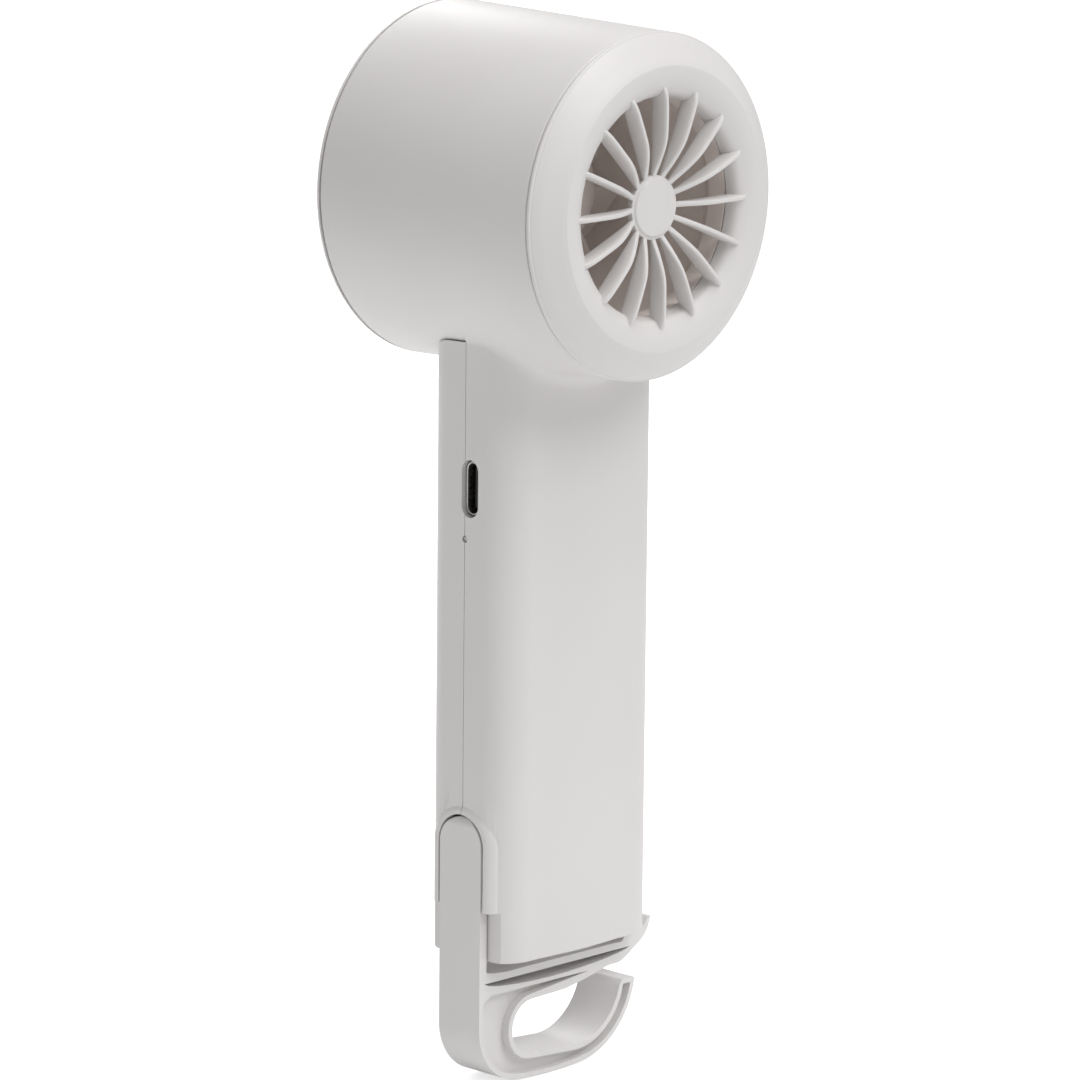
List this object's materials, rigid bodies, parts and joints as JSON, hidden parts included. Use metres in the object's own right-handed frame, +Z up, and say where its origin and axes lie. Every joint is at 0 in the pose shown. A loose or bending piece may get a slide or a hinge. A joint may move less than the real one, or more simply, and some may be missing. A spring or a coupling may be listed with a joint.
{
  "type": "handheld fan",
  "caption": "Handheld electric fan with a round ducted head, a flat handle, a side charging socket and a swinging carabiner clip at its foot.",
  "frame": {"origin": "on the ground under the middle of the head, level with the clip's lowest point", "axes": "+Z up along the handle to the head; +Y out of the intake side; -Y is the way the air leaves; +X is the narrow side with the charging socket and the clip's arm"},
  "size_m": [0.0586, 0.0534, 0.176],
  "materials": {
    "white_plastic": "satin moulded ABS, warm white",
    "grey_plastic": "satin moulded ABS, warm grey",
    "impeller_plastic": "satin moulded nylon, grey",
    "button_plastic": "satin",
    "black_plastic": "matte black",
    "clear_plastic": "clear acrylic",
    "steel": "plated steel",
    "magnet": "sintered ferrite, dark grey",
    "copper": "enamelled copper wire on steel laminations",
    "board_green": "solder-masked glass epoxy",
    "battery_wrap": "laminated foil pouch",
    "foam": "adhesive foam, black",
    "lamp": "clear lens",
    "red_wire": "insulated wire",
    "black_wire": "insulated wire"
  },
  "bodies": {
    "housing": {"rear_housing": "white_plastic", "front_cover": "white_plastic", "intake_grille": "white_plastic", "outlet_grille": "white_plastic", "inner_duct": "grey_plastic", "motor_bracket": "grey_plastic", "rear_bearing": "steel", "front_bearing": "steel", "motor_core": "copper", "motor_board": "board_green", "bracket_screw_1": "steel", "bracket_screw_2": "steel", "bracket_screw_3": "steel", "battery_cell": "battery_wrap", "battery_pad": "foam", "battery_lead_red": "red_wire", "battery_lead_black": "black_wire", "motor_lead_red": "red_wire", "motor_lead_black": "black_wire", "main_board": "board_green", "board_screw_1": "steel", "board_screw_2": "steel", "usb_shell": "steel", "usb_tongue": "black_plastic", "status_led": "lamp", "light_pipe": "clear_plastic", "tact_switch": "black_plastic", "clip_pin": "steel"},
    "rotor": {"impeller": "impeller_plastic", "rotor_cup": "steel", "magnet_ring": "magnet", "motor_shaft": "steel"},
    "button": {"power_button": "button_plastic"},
    "clip": {"carabiner_clip": "white_plastic"}
  },
  "joints": [
    {"name": "impeller_spin", "type": "hinge", "parent": "housing", "child": "rotor", "pos_m": [0, 0, 0.1467], "axis": [0, 1, 0], "continuous": true},
    {"name": "button_press", "type": "slide", "parent": "housing", "child": "button", "axis": [0, 1, 0], "range_m": [0, 0.0006], "stiffness_N_per_m": 2500, "springref_m": -0.0002},
    {"name": "clip_swing", "type": "hinge", "parent": "housing", "child": "clip", "pos_m": [0.0172, 0, 0.04095], "axis": [0, -1, 0], "range_deg": [0, 90]}
  ]
}
